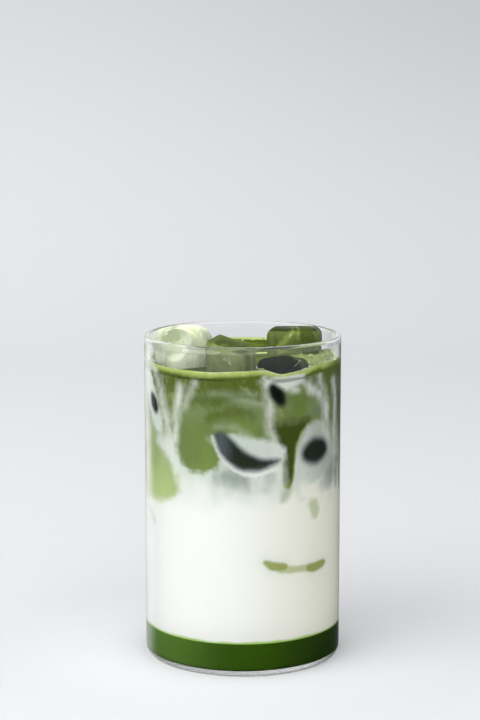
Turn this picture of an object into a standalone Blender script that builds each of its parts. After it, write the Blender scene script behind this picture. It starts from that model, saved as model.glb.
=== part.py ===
"""Iced pistachio latte in a straight clear glass.

Run with: blender --background --python part.py, or from Blender's text editor.
Metres, +Z up. The origin is the centre of the glass's flat underside, the glass stands along +Z,
and the front of the drink faces -Y. Angles round the glass are in degrees from the front,
positive towards +X.
"""
import bmesh
import bpy
from math import atan2, cos, degrees, exp, hypot, pi, radians, sin, sqrt
from mathutils import Euler, Matrix

MM = 0.001

# ---- the glass ------------------------------------------------------------------------------
GLASS_RADIUS = 38.0 * MM        # outside, the same from the foot to the lip
GLASS_HEIGHT = 125.5 * MM
WALL = 2.0 * MM
LIP = 2.3 * MM                  # the fire-polished lip is thicker and swells inwards
LIP_SWELL = 2.2 * MM            # how far below the lip the wall has its own thickness again
BASE = 2.0 * MM                 # thickness of the glass floor
FOOT_WIDTH = 2.4 * MM           # the outer edge at the foot is a quarter of an oval
FOOT_RISE = 3.0 * MM
FLOOR_ROUND = 1.0 * MM          # inner corner between floor and wall
TURN_STEPS = 72

# ---- the drink, from the bottom up ----------------------------------------------------------
GAP = 0.3 * MM                  # between pieces that touch
SYRUP_TOP = 12.6 * MM           # the dark green syrup settled on the floor
SWIRL_LEVEL = 75.4 * MM         # mean height where white milk turns into green latte
FROTH_DEPTH = 2.1 * MM          # the pale fine froth on top
DRINK_LEVEL = 116.0 * MM        # surface of the froth, away from the wall
CREEP_HEIGHT = 1.2 * MM         # how far the surface climbs the wall
CREEP_WIDTH = 1.5 * MM
DRINK_SECTORS = 84

# Tongues where the green sinks (negative) and the milk rises (positive):
# angle, half width in degrees, height.
TONGUES = (
    (-74, 22, -7.0 * MM),
    (-49, 9, 14.0 * MM),
    (-27, 12, 3.0 * MM),
    (4, 16, -1.0 * MM),
    (29, 8, -6.0 * MM),
    (52, 12, 8.0 * MM),
    (84, 16, -5.0 * MM),
    (118, 12, 10.0 * MM),
    (150, 18, -8.0 * MM),
    (186, 12, 12.0 * MM),
    (222, 20, -6.0 * MM),
    (254, 12, 9.0 * MM),
)

# The froth lies a little higher on one side: angle of that side, and how much at the wall.
SURFACE_TILT_ANGLE = 165
SURFACE_TILT = 1.6 * MM

# Rings of points on a layer's faces, as shares of its radius.
CALM = (0.0, 0.5, 1.0)
WAVY = (0.0, 0.25, 0.5, 0.7, 0.85, 1.0)
CREEPING = (0.0, 0.5, 0.85, 0.93, 0.965, 0.985, 1.0)
CORNERED = (0.0, 0.5, 0.972, 0.98, 0.99, 0.997, 1.0)

# ---- the ice that stands out of the surface --------------------------------------------------
# name: (width, depth, height), edge rounding, centre, (lean about X, lean about Y, turn about Z),
# (fall of the top towards +X, towards +Y), in millimetres and degrees
ICE = {
    "ice_left": ((20.0, 21.5, 21.5), 6.0, (-22.3, -9.8, 118.8), (-5, -3, 21), (0.0, 0.0)),
    "ice_middle": ((16.4, 12.5, 22.0), 1.8, (-4.2, -24.0, 114.2), (0, 0, -24), (0.25, -0.12)),
    "ice_right": ((21.0, 16.6, 20.0), 3.4, (20.4, 10.4, 116.4), (-3, -1, -7), (0.0, 0.0)),
    "ice_front": ((15.0, 15.0, 18.0), 2.8, (15.0, -20.6, 109.8), (-2, 1, 44), (0.0, 0.0)),
}
ICE_TAPER = 0.06                # a moulded cube is this share narrower at its lower end
ICE_ROUND_SEGMENTS = 4
DIMPLE_RADIUS = 7.0             # the round hollow that freezing leaves in the left cube's face
DIMPLE_DEPTH = 1.6
DIMPLE_TURN = -34               # where on the cube: degrees round it from its front face
DIMPLE_RISE = 22                # and degrees up from level


def scene_collection(name):
    """Return a new empty collection that is linked to the scene."""
    collection = bpy.data.collections.new(name)
    bpy.context.scene.collection.children.link(collection)
    return collection


def material(name, colour, roughness, transmission=0.0, ior=1.45):
    """A Principled material with a plain colour."""
    result = bpy.data.materials.new(name)
    result.use_nodes = True
    shader = result.node_tree.nodes["Principled BSDF"]
    shader.inputs["Base Color"].default_value = (*colour, 1.0)
    shader.inputs["Roughness"].default_value = roughness
    shader.inputs["Metallic"].default_value = 0.0
    shader.inputs["Transmission Weight"].default_value = transmission
    shader.inputs["IOR"].default_value = ior
    result.diffuse_color = (*colour, 1.0)
    return result


def add_object(name, mesh, collection, finish):
    """Link a named object with one material."""
    mesh.materials.append(finish)
    obj = bpy.data.objects.new(name, mesh)
    collection.objects.link(obj)
    return obj


def arc(centre, radius, start, end, steps):
    """Points (r, z) on an arc, from one angle in degrees to another."""
    points = []
    for i in range(steps + 1):
        angle = radians(start + (end - start) * i / steps)
        points.append((centre[0] + radius * cos(angle), centre[1] + radius * sin(angle)))
    return points


def turned(name, profile, collection, finish):
    """Turn a profile of (r, z) points round the Z axis with a Screw modifier."""
    mesh = bpy.data.meshes.new(name)
    points = [(r, 0.0, z) for r, z in profile]
    mesh.from_pydata(points, [(i, i + 1) for i in range(len(points) - 1)], [])
    obj = add_object(name, mesh, collection, finish)
    screw = obj.modifiers.new("Turn", "SCREW")
    screw.axis = "Z"
    screw.angle = 2 * pi
    screw.steps = TURN_STEPS
    screw.render_steps = TURN_STEPS
    screw.use_merge_vertices = True
    screw.merge_threshold = 1e-5
    screw.use_smooth_shade = True
    return obj


def glass_profile():
    """Inner floor, inner wall, round lip, outer wall and flat foot, in that order."""
    inner = GLASS_RADIUS - WALL
    floor_turn = arc((inner - FLOOR_ROUND, BASE + FLOOR_ROUND), FLOOR_ROUND, -90, 0, 5)
    swell = []
    for i in range(5):
        share = i / 5
        inward = (LIP - WALL) * (1 - cos(pi * share)) / 2
        swell.append((inner - inward, GLASS_HEIGHT - LIP / 2 - LIP_SWELL * (1 - share)))
    lip_turn = arc((GLASS_RADIUS - LIP / 2, GLASS_HEIGHT - LIP / 2), LIP / 2, 180, 0, 8)
    foot_turn = [(GLASS_RADIUS - FOOT_WIDTH * (1 - r), FOOT_RISE * (1 + z))
                 for r, z in arc((0.0, 0.0), 1.0, 0, -90, 6)]
    return [(0.0, BASE)] + floor_turn + swell + lip_turn + foot_turn + [(0.0, 0.0)]


def angle_between(a, b):
    """Smallest difference of two angles in degrees, with its sign."""
    return (a - b + 180) % 360 - 180


def front_angle(x, y):
    """Angle round the glass from the front (-Y), positive towards +X."""
    return degrees(atan2(x, -y))


def glass_floor(x, y):
    """Height of the glass's inner floor, up its rounded corner, with the gap on top."""
    inner = GLASS_RADIUS - WALL - GAP
    corner = inner - FLOOR_ROUND
    beyond = min(max(hypot(x, y) - corner, 0.0), FLOOR_ROUND)
    return BASE + GAP + FLOOR_ROUND - sqrt(FLOOR_ROUND**2 - beyond**2)


def syrup_top(x, y):
    """The settled syrup lies flat."""
    return SYRUP_TOP


def swirl_level(x, y):
    """Where the green stops and the milk begins: tongues at the wall, calm in the middle."""
    reach = (hypot(x, y) / (GLASS_RADIUS - WALL))**2
    height = 0.0
    for angle, half_width, rise in TONGUES:
        height += rise * exp(-(angle_between(front_angle(x, y), angle) / half_width)**2)
    return SWIRL_LEVEL + height * reach


def froth_bottom(x, y):
    """Under the froth: an even slope towards the low side."""
    share = hypot(x, y) / (GLASS_RADIUS - WALL)
    tilt = SURFACE_TILT * share * cos(radians(front_angle(x, y) - SURFACE_TILT_ANGLE))
    return DRINK_LEVEL - FROTH_DEPTH + tilt


def froth_top(x, y):
    """The froth's surface climbs the last millimetres before the wall."""
    inner = GLASS_RADIUS - WALL
    creep = CREEP_HEIGHT * exp(-(inner - GAP - hypot(x, y)) / CREEP_WIDTH)
    return froth_bottom(x, y) + FROTH_DEPTH + creep


def above(level):
    """The same surface, one gap higher, for the next layer to start on."""
    return lambda x, y: level(x, y) + GAP


def layer(name, bottom, bottom_rings, top, top_rings, collection, finish):
    """A layer of drink that fills the glass between two height functions."""
    outer = GLASS_RADIUS - WALL - GAP
    profile = [(outer * share, 0.0) for share in bottom_rings]
    profile += [(outer * share, 1.0) for share in reversed(top_rings)]
    bm = bmesh.new()
    verts = [bm.verts.new((r, 0.0, level)) for r, level in profile]
    edges = [bm.edges.new(pair) for pair in zip(verts, verts[1:])]
    bmesh.ops.spin(bm, geom=verts + edges, axis=(0, 0, 1), cent=(0, 0, 0), angle=2 * pi,
                   steps=DRINK_SECTORS, use_merge=True)
    bmesh.ops.remove_doubles(bm, verts=bm.verts, dist=1e-7)
    for vert in bm.verts:
        x, y, level = vert.co
        vert.co.z = top(x, y) if level > 0.5 else bottom(x, y)
    bmesh.ops.recalc_face_normals(bm, faces=bm.faces)
    bmesh.ops.triangulate(bm, faces=bm.faces, quad_method="SHORT_EDGE")
    mesh = bpy.data.meshes.new(name)
    bm.to_mesh(mesh)
    bm.free()
    return add_object(name, mesh, collection, finish)


def ice_block(name, shape, collection, finish, swell=0.0):
    """A moulded ice cube, a little narrower below, with rounded edges; swell makes a cutter."""
    size, rounding, centre, turn, fall = shape
    bm = bmesh.new()
    bmesh.ops.create_cube(bm, size=1.0)
    for vert in bm.verts:
        narrow = 1.0 - ICE_TAPER * (0.5 - vert.co.z)
        for axis in range(3):
            vert.co[axis] *= (size[axis] + 2 * swell) * MM * (narrow if axis < 2 else 1.0)
        if vert.co.z > 0:
            vert.co.z -= vert.co.x * fall[0] + vert.co.y * fall[1]
    mesh = bpy.data.meshes.new(name)
    bm.to_mesh(mesh)
    bm.free()
    place = Matrix.Translation([c * MM for c in centre])
    lean = Euler([radians(a) for a in turn]).to_matrix().to_4x4()
    obj = add_object(name, mesh, collection, finish)
    obj.matrix_world = place @ lean
    bevel = obj.modifiers.new("Melted edges", "BEVEL")
    bevel.width = (rounding + swell) * MM
    bevel.segments = ICE_ROUND_SEGMENTS
    bevel.limit_method = "NONE"
    bevel.use_clamp_overlap = True
    mesh.shade_smooth()
    return obj


def cut(obj, cutter):
    """Take the cutter's space out of an object."""
    boolean = obj.modifiers.new("Cut " + cutter.name, "BOOLEAN")
    boolean.operation = "DIFFERENCE"
    boolean.solver = "EXACT"
    boolean.object = cutter


def as_cutter(obj):
    """Show a cutter as wire and keep it out of renders."""
    obj.hide_render = True
    obj.display_type = "WIRE"
    return obj


def dimple_cutter(collection, finish):
    """A sphere that leaves the shallow round hollow in the left cube's front face."""
    size, _, centre, turn, _ = ICE["ice_left"]
    lean = Euler([radians(a) for a in turn]).to_matrix()
    sphere_radius = (DIMPLE_RADIUS**2 + DIMPLE_DEPTH**2) / (2 * DIMPLE_DEPTH)
    distance = size[1] / 2 + sphere_radius - DIMPLE_DEPTH
    turn_round = Matrix.Rotation(radians(DIMPLE_TURN), 3, "Z")
    tip_up = Matrix.Rotation(radians(-DIMPLE_RISE), 3, "X")
    offset = (lean @ turn_round @ tip_up).col[1] * -distance
    bm = bmesh.new()
    bmesh.ops.create_uvsphere(bm, u_segments=32, v_segments=16, radius=sphere_radius * MM)
    mesh = bpy.data.meshes.new("dimple")
    bm.to_mesh(mesh)
    bm.free()
    obj = add_object("dimple", mesh, collection, finish)
    obj.location = [(c + o) * MM for c, o in zip(centre, offset)]
    return as_cutter(obj)


def main():
    for obj in list(bpy.data.objects):
        bpy.data.objects.remove(obj)

    parts = scene_collection("pistachio_latte")
    cutters = scene_collection("cutters")

    clear_glass = material("clear_glass", (0.95, 0.97, 0.96), 0.02, transmission=1.0, ior=1.5)
    syrup = material("syrup", (0.030, 0.085, 0.008), 0.35)
    milk = material("milk", (0.93, 0.94, 0.90), 0.45)
    latte = material("latte", (0.115, 0.170, 0.030), 0.45)
    froth = material("froth", (0.36, 0.46, 0.13), 0.60)
    ice = material("ice", (0.86, 0.93, 0.80), 0.05, transmission=0.8, ior=1.31)

    turned("glass", glass_profile(), parts, clear_glass)
    layer("syrup_layer", glass_floor, CORNERED, syrup_top, CALM, parts, syrup)
    layer("milk_layer", above(syrup_top), CALM, swirl_level, WAVY, parts, milk)
    latte_body = layer("latte_layer", above(swirl_level), WAVY, froth_bottom, CALM, parts, latte)
    froth_body = layer("froth_layer", above(froth_bottom), CALM, froth_top, CREEPING, parts, froth)

    for name, shape in ICE.items():
        block = ice_block(name, shape, parts, ice)
        hole = as_cutter(ice_block(name + "_hole", shape, cutters, ice, swell=0.3))
        cut(latte_body, hole)
        cut(froth_body, hole)
        if name == "ice_left":
            cut(block, dimple_cutter(cutters, ice))


main()
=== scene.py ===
# %% [markdown]
# # An iced pistachio latte in a straight glass
#
# The drink is a lesson in things that are seen through other things. A clear glass holds a dark green
# syrup, white milk, and green latte that sinks into the milk in soft swirls. Ice stands out of the froth.
#
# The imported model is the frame: it gives every piece its place and size. The pieces made here replace its
# plain solids with fine ones, and each of them gets a finish made of nodes.

# %% Load the frame
from math import atan2, cos, degrees, exp, hypot, pi, radians, sin

import bmesh
import bpy
import numpy
from mathutils import Euler, Matrix, Vector, noise


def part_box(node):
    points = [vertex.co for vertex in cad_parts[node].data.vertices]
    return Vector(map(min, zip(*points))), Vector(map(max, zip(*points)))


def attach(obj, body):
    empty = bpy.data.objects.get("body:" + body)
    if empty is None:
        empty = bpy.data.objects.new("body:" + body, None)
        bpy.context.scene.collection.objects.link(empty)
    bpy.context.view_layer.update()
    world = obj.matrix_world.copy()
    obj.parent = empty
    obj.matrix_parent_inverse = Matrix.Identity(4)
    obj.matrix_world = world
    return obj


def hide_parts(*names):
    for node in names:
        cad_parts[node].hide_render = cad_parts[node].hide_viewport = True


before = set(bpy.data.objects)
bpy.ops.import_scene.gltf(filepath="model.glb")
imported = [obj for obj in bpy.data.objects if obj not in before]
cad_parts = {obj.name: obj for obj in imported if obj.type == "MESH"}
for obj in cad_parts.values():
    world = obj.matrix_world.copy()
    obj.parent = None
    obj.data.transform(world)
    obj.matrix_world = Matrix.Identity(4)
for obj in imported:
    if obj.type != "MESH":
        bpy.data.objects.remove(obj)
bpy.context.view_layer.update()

MM = 0.001
print("solids:", ", ".join(sorted(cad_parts)))

# %% [markdown]
# ## The sizes that everything else follows
#
# The outer radius and the height of the glass are read from the frame, and so is the top of the syrup. The
# wall, the floor and the level of the drink can't be read from a box, so they are named again here.

# %% Sizes
glass_low, glass_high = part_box("glass")
GLASS_RADIUS = glass_high.x
GLASS_HEIGHT = glass_high.z
WALL = 2.0 * MM
LIP = 2.3 * MM
LIP_SWELL = 2.2 * MM
BASE = 2.0 * MM
FOOT_WIDTH = 2.4 * MM
FOOT_RISE = 3.0 * MM
FLOOR_ROUND = 1.0 * MM
INNER_RADIUS = GLASS_RADIUS - WALL

SYRUP_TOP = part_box("syrup_layer")[1].z
DRINK_LEVEL = 116.0 * MM
FROTH_DEPTH = 2.1 * MM
print(f"glass {2000 * GLASS_RADIUS:.1f} mm across, {1000 * GLASS_HEIGHT:.1f} mm high")

# %% [markdown]
# ## Camera
#
# A long lens from a little above the rim keeps the walls of the glass nearly parallel. The camera is set
# up first, so that each piece can be judged from it as it is added.

# %% The camera
CAMERA_PLACE = (-0.00101, -0.71272, 0.22761)
CAMERA_FALL = 8.975             # degrees below level
CAMERA_LENS = 93.291

camera = bpy.data.objects.new("camera", bpy.data.cameras.new("camera"))
camera.data.lens = CAMERA_LENS
camera.data.sensor_width = 36.0
camera.data.clip_start = 0.01
camera.location = CAMERA_PLACE
camera.rotation_euler = (radians(90 - CAMERA_FALL), 0.0, 0.0)
bpy.context.scene.collection.objects.link(camera)
bpy.context.scene.camera = camera
print("camera looks down", CAMERA_FALL, "degrees")

# %% [markdown]
# ## Shader sums written as Python
#
# A node graph for liquid is mostly arithmetic: distances, blends and soft steps. Wiring that by hand hides
# the idea. The small class below wraps one output socket, so that `1 - mask * 0.5` adds its own Math
# nodes. Every other node comes from a single method that takes its type, its settings and its inputs.

# %% A wire that knows how to add
class Wire:
    """One output of a shader node that takes part in Python sums."""

    def __init__(self, finish, socket):
        self.finish = finish
        self.socket = socket

    def sum(self, operation, *values):
        return self.finish.node("ShaderNodeMath", {"operation": operation}, dict(enumerate(values)))

    def __add__(self, other):
        return self.sum("ADD", self, other)

    def __sub__(self, other):
        return self.sum("SUBTRACT", self, other)

    def __rsub__(self, other):
        return self.sum("SUBTRACT", other, self)

    def __mul__(self, other):
        return self.sum("MULTIPLY", self, other)

    def __pow__(self, other):
        return self.sum("POWER", self, other)

    __radd__ = __add__
    __rmul__ = __mul__

    def least(self, other):
        return self.sum("MINIMUM", self, other)

    def most(self, other):
        return self.sum("MAXIMUM", self, other)

    def step(self, start, end, low=0.0, high=1.0):
        """A soft step: low before start, high after end."""
        settings = {"interpolation_type": "SMOOTHSTEP", "clamp": True}
        inputs = {"Value": self, "From Min": start, "From Max": end, "To Min": low, "To Max": high}
        return self.finish.node("ShaderNodeMapRange", settings, inputs)


# %% A finish: one material and the way to add nodes to it
class Finish:
    """A Principled material whose varying inputs are built from wires."""

    def __init__(self, name, **sockets):
        self.material = bpy.data.materials.new(name)
        self.material.use_nodes = True
        self.tree = self.material.node_tree
        self.shader = self.tree.nodes["Principled BSDF"]
        self.set(**sockets)

    def set(self, **sockets):
        """Set or link the shader's sockets; an underscore stands for a space."""
        for name, value in sockets.items():
            self.feed(self.shader.inputs[name.replace("_", " ")], value)

    def feed(self, socket, value):
        if isinstance(value, Wire):
            self.tree.links.new(value.socket, socket)
        elif isinstance(value, tuple) and socket.type == "RGBA":
            socket.default_value = (*value, 1.0)
        else:
            socket.default_value = value

    def node(self, kind, settings=None, inputs=None, output=0):
        """Add a node: its settings first, then its inputs by name or number."""
        node = self.tree.nodes.new(kind)
        for name, value in (settings or {}).items():
            setattr(node, name, value)
        for name, value in (inputs or {}).items():
            self.feed(node.inputs[name], value)
        return Wire(self, node.outputs[output])

    def vector(self, operation, *values, output=0, **inputs):
        """A Vector Math node."""
        numbered = dict(enumerate(values))
        return self.node("ShaderNodeVectorMath", {"operation": operation}, {**numbered, **inputs}, output)

    def mix(self, share, first, second):
        """Blend two colours: share 0 gives the first, 1 the second."""
        inputs = {0: share, 6: first, 7: second}
        return self.node("ShaderNodeMix", {"data_type": "RGBA"}, inputs, output=2)

    def place(self):
        """The point on the surface, in millimetres."""
        point = self.node("ShaderNodeTexCoord", output="Object")
        return self.vector("SCALE", point, Scale=1.0 / MM)

    def split(self, vector):
        """The three parts of a vector."""
        node = self.tree.nodes.new("ShaderNodeSeparateXYZ")
        self.tree.links.new(vector.socket, node.inputs[0])
        return [Wire(self, socket) for socket in node.outputs]

    def join(self, x, y, z):
        return self.node("ShaderNodeCombineXYZ", None, {0: x, 1: y, 2: z})

    def noise(self, point, grain, detail, **inputs):
        """Perlin noise; grain is the size of its lumps in the point's units."""
        values = {"Vector": point, "Scale": 1.0 / grain, "Detail": detail, **inputs}
        return self.node("ShaderNodeTexNoise", None, values, output="Fac")

    def attribute(self, name):
        """A number stored on the mesh's points."""
        return self.node("ShaderNodeAttribute", {"attribute_name": name}, output="Fac")

    def milky(self, share, colour, roughness=0.3):
        """Blend the shader with an opaque one of another colour: share 1 is all opaque."""
        opaque = self.node("ShaderNodeBsdfPrincipled", None,
                           {"Base Color": colour, "Roughness": roughness, "Specular IOR Level": 0.0})
        blend = self.node("ShaderNodeMixShader", None, {0: share, 2: opaque})
        self.tree.links.new(self.shader.outputs[0], blend.socket.node.inputs[1])
        self.tree.links.new(blend.socket, self.tree.nodes["Material Output"].inputs["Surface"])


print("finish helpers ready")

# %% [markdown]
# ## The glass
#
# A tumbler is a turned shape: one profile, spun round an axis. The profile runs from the middle of the
# inner floor, up the wall and over a fire-polished lip that swells inwards, and down the outside to the
# foot. It could also be drawn as a flat wall with a Solidify modifier, but then the lip and the foot would
# have no form of their own. Many steps round keep the refraction smooth, because light bends at every facet.

# %% The glass's profile
SWELL_STEPS = 16


def arc(centre, radius, start, end, steps):
    """Points (r, z) on an arc, from one angle in degrees to another."""
    points = []
    for i in range(steps + 1):
        angle = radians(start + (end - start) * i / steps)
        points.append((centre[0] + radius * cos(angle), centre[1] + radius * sin(angle)))
    return points


def glass_profile():
    floor_turn = arc((INNER_RADIUS - FLOOR_ROUND, BASE + FLOOR_ROUND), FLOOR_ROUND, -90, 0, 10)
    swell = []
    for i in range(SWELL_STEPS):
        share = i / SWELL_STEPS
        inward = (LIP - WALL) * (1 - cos(pi * share)) / 2
        swell.append((INNER_RADIUS - inward, GLASS_HEIGHT - LIP / 2 - LIP_SWELL * (1 - share)))
    lip_turn = arc((GLASS_RADIUS - LIP / 2, GLASS_HEIGHT - LIP / 2), LIP / 2, 180, 0, 20)
    foot_turn = [(GLASS_RADIUS - FOOT_WIDTH * (1 - r), FOOT_RISE * (1 + z))
                 for r, z in arc((0.0, 0.0), 1.0, 0, -90, 18)]
    return [(0.0, BASE)] + floor_turn + swell + lip_turn + foot_turn + [(0.0, 0.0)]


print("points on the glass's profile:", len(glass_profile()))

# %% Turning a profile
TURN_STEPS = 256                # round the glass
SHARP_ANGLE = 50                # degrees; a sharper edge than this isn't smoothed over


def add_piece(name, mesh, finish):
    """Link a finished mesh, smooth, with one material."""
    mesh.materials.clear()
    mesh.materials.append(finish.material)
    mesh.shade_smooth()
    mesh.set_sharp_from_angle(angle=radians(SHARP_ANGLE))
    obj = bpy.data.objects.new(name, mesh)
    bpy.context.scene.collection.objects.link(obj)
    return obj


def turned_mesh(name, profile, steps=TURN_STEPS):
    """Spin a profile of (r, z) points; the two ends lie on the axis."""
    bm = bmesh.new()
    verts = [bm.verts.new((r, 0.0, z)) for r, z in profile]
    edges = [bm.edges.new(pair) for pair in zip(verts, verts[1:])]
    bmesh.ops.spin(bm, geom=verts + edges, axis=(0, 0, 1), cent=(0, 0, 0), angle=2 * pi,
                   steps=steps, use_merge=True)
    bmesh.ops.remove_doubles(bm, verts=bm.verts, dist=1e-6)
    bmesh.ops.recalc_face_normals(bm, faces=bm.faces)
    mesh = bpy.data.meshes.new(name)
    bm.to_mesh(mesh)
    bm.free()
    return mesh


def keep(piece, slot, *nodes):
    """Hand a finished piece to the frame: its body, and the solids that it stands for. The argument slot is
    not used.
    """
    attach(piece, "root")
    if nodes:
        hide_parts(*nodes)
    print(f"{piece.name}: {len(piece.data.polygons)} faces")


# %% Blow the tumbler in clear glass
clear = Finish("clear_glass", Base_Color=(1.0, 1.0, 1.0), Roughness=0.0, IOR=1.5,
               Transmission_Weight=1.0)

tumbler = add_piece("tumbler", turned_mesh("tumbler", glass_profile()), clear)
keep(tumbler, "clear_glass", "glass")

# %% [markdown]
# ## The syrup
#
# Dark green syrup lies on the floor of the glass. Liquid wets glass, so there is no air between them. Its
# side therefore reaches a tenth of a millimetre into the wall. Without that overlap the wall would act
# as a mirror and the drink would look narrower than the glass. Under the syrup a hair of clearance stays:
# seen at a grazing angle the base is a light guide, and it shines.

# %% The shapes of the layers
WETTING = 0.1 * MM              # how far the drink reaches into the wall
CLEARANCE = 0.05 * MM
WET_RADIUS = INNER_RADIUS + WETTING
SURFACE_TILT = 1.6 * MM         # the froth's line on the wall is higher on one side
SURFACE_TILT_ANGLE = 165        # degrees from the front, where it is highest
CREEP_HEIGHT = 1.2 * MM         # froth is drawn up the wall
CREEP_WIDTH = 1.5 * MM


def front_angle(x, y):
    """Angle round the glass from the front, in degrees, positive towards +X."""
    return degrees(atan2(x, -y))


# how far the line of froth on the wall wanders: (angle from the front, mm up or down)
FROTH_LINE = ((-180, 0.0), (-100, 0.3), (-62, 0.2), (-22, 0.3), (0, 0.9), (11, 1.0), (24, -0.9),
              (35, -0.5), (48, 0.5), (75, 0.2), (110, 0.0), (180, 0.0))


def line_wander(angle):
    """Height of the froth's line at an angle, on a smooth curve through the given points."""
    for (start, low), (end, high) in zip(FROTH_LINE, FROTH_LINE[1:]):
        if angle <= end:
            share = (angle - start) / (end - start)
            return (low + (high - low) * (1 - cos(pi * share)) / 2) * MM
    return 0.0


def froth_bottom(x, y):
    share = hypot(x, y) / INNER_RADIUS
    tilt = SURFACE_TILT * share * cos(radians(front_angle(x, y) - SURFACE_TILT_ANGLE))
    return DRINK_LEVEL - FROTH_DEPTH + tilt + line_wander(front_angle(x, y)) * share ** 4


def froth_top(x, y):
    creep = CREEP_HEIGHT * exp(-max(INNER_RADIUS - hypot(x, y), 0.0) / CREEP_WIDTH)
    return froth_bottom(x, y) + FROTH_DEPTH + creep


SYRUP_ROWS = 6
syrup_floor = BASE + CLEARANCE
syrup_corner = arc((WET_RADIUS - FLOOR_ROUND, syrup_floor + FLOOR_ROUND), FLOOR_ROUND, -90, 0, 10)
syrup_side = [(WET_RADIUS, SYRUP_TOP * share + (syrup_floor + FLOOR_ROUND) * (1 - share))
              for share in (i / SYRUP_ROWS for i in range(1, SYRUP_ROWS + 1))]
syrup_profile = [(0.0, syrup_floor)] + syrup_corner + syrup_side + [(0.0, SYRUP_TOP)]
print(f"froth meets the wall at {froth_bottom(0.0, -INNER_RADIUS) / MM:.1f} mm in front")


# %% The syrup's finish
def syrup_finish():
    """Dark green, painted paler on the left as light that gets in from that side, and darker on the right and
    along the bottom as shade.
    """
    f = Finish("syrup", Roughness=0.4, Specular_IOR_Level=0.0)
    x, y, z = f.split(f.place())
    # painted light makes the left paler; painted shade makes the right darker
    colour = f.mix(x.step(-30.0, -4.0), (0.086, 0.176, 0.022), (0.036, 0.090, 0.004))
    colour = f.mix(x.step(2.0, 33.0), colour, (0.020, 0.044, 0.007))
    # painted shade: darker along the bottom
    colour = f.mix(z.step(1.6, 4.2, 0.45, 0.0), colour, (0.012, 0.030, 0.002))
    f.set(Base_Color=colour)
    return f


syrup = add_piece("syrup", turned_mesh("syrup", syrup_profile), syrup_finish())
keep(syrup, "syrup", "syrup_layer")

# %% [markdown]
# ## The shapes of the ice, and the pockets they sit in
#
# Four moulded cubes stand out of the surface. Each starts as a box that is narrower below, and gets round
# edges. It is then divided finely, so that melting can be modelled later. Their shapes come before the
# drink's, because the drink is cut to fit them.
#
# The drink and the froth get a pocket for each cube. A pocket is a little smaller than its cube, so the
# liquid touches the ice all over, and what is seen through the ice is the liquid's surface. In the drink,
# every surface away from the wall is painted pale on the left and dark, as shade, elsewhere.

# %% Ice shapes
# (width, depth, height), rounding, centre, lean about X, Y and turn about Z, fall of the top to +X and +Y
ICE = {
    "ice_left": ((20.0, 21.5, 21.5), 6.0, (-22.3, -9.8, 118.8), (-5, -3, 21), (0.0, 0.0)),
    "ice_middle": ((16.4, 12.5, 22.0), 1.8, (-4.2, -24.0, 114.2), (0, 0, -24), (0.25, -0.12)),
    "ice_right": ((21.0, 16.6, 20.0), 3.4, (20.4, 10.4, 116.4), (-3, -1, -7), (0.0, 0.0)),
    "ice_front": ((15.0, 15.0, 18.0), 2.8, (15.0, -20.6, 109.8), (-2, 1, 44), (0.0, 0.0)),
}
ICE_TAPER = 0.06
ICE_CUTS = 24                   # cuts across each face, so that it can melt
LONG_EDGE = 3.5 * MM            # only edges longer than this are cut; the round ones stay as they are
POCKET_INSET = 0.35             # mm that the drink reaches into the ice


def ice_mesh(name, inset=0.0, cuts=0):
    """A tapered box with round edges in the cube's place; cuts divide its faces for melting."""
    size, rounding, centre, lean, fall = ICE[name]
    bm = bmesh.new()
    bmesh.ops.create_cube(bm, size=1.0)
    for vert in bm.verts:
        narrow = 1.0 - ICE_TAPER * (0.5 - vert.co.z)
        for axis in range(3):
            vert.co[axis] *= (size[axis] - 2 * inset) * MM * (narrow if axis < 2 else 1.0)
        if vert.co.z > 0:
            vert.co.z -= vert.co.x * fall[0] + vert.co.y * fall[1]
    bmesh.ops.bevel(bm, geom=bm.edges[:], offset=(rounding - inset) * MM, segments=8 if cuts else 4,
                    profile=0.5, affect="EDGES", clamp_overlap=True)
    bmesh.ops.remove_doubles(bm, verts=bm.verts, dist=1e-7)
    if cuts:
        long_edges = [edge for edge in bm.edges if edge.calc_length() > LONG_EDGE]
        bmesh.ops.subdivide_edges(bm, edges=long_edges, cuts=cuts, use_grid_fill=True)
    turn = Euler([radians(angle) for angle in lean]).to_matrix().to_4x4()
    bm.transform(Matrix.Translation(Vector(centre) * MM) @ turn)
    bmesh.ops.recalc_face_normals(bm, faces=bm.faces)
    mesh = bpy.data.meshes.new(name)
    bm.to_mesh(mesh)
    bm.free()
    return mesh


# %% Pockets
def cut_pockets(mesh):
    """Take every cube's pocket out of a mesh, with an exact Boolean."""
    body = bpy.data.objects.new("pocketed", mesh)
    bpy.context.scene.collection.objects.link(body)
    cutters = []
    for name in ICE:
        cutter = bpy.data.objects.new("pocket", ice_mesh(name, POCKET_INSET))
        bpy.context.scene.collection.objects.link(cutter)
        cutters.append(cutter)
        boolean = body.modifiers.new("Pocket", "BOOLEAN")
        boolean.operation = "DIFFERENCE"
        boolean.solver = "EXACT"
        boolean.object = cutter
    evaluated = body.evaluated_get(bpy.context.evaluated_depsgraph_get())
    result = bpy.data.meshes.new_from_object(evaluated)
    for obj in [body] + cutters:
        bpy.data.objects.remove(obj)
    print(f"pockets cut: {len(mesh.polygons)} faces became {len(result.polygons)}")
    return result


# %% [markdown]
# ## The body of the drink
#
# Milk and latte have no surface between them, so they are one turned shape, from the top of the syrup to
# the underside of the froth. Its upper rim follows the line of the froth, and the cubes' pockets are cut
# out. Two shapes that touch would show a seam. The side is divided finely, because the next step stores
# numbers at its points.

# %% The body of the drink
WALL_STEPS = 384                # round the drink
WALL_ROWS = 190                 # up its side


def drink_profile():
    side = [(WET_RADIUS, SYRUP_TOP + (DRINK_LEVEL - FROTH_DEPTH - SYRUP_TOP) * i / WALL_ROWS)
            for i in range(WALL_ROWS + 1)]
    top = [(WET_RADIUS * share, DRINK_LEVEL - FROTH_DEPTH) for share in (0.98, 0.9, 0.75, 0.5, 0.25, 0.0)]
    return [(0.0, SYRUP_TOP)] + side + top


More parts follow.
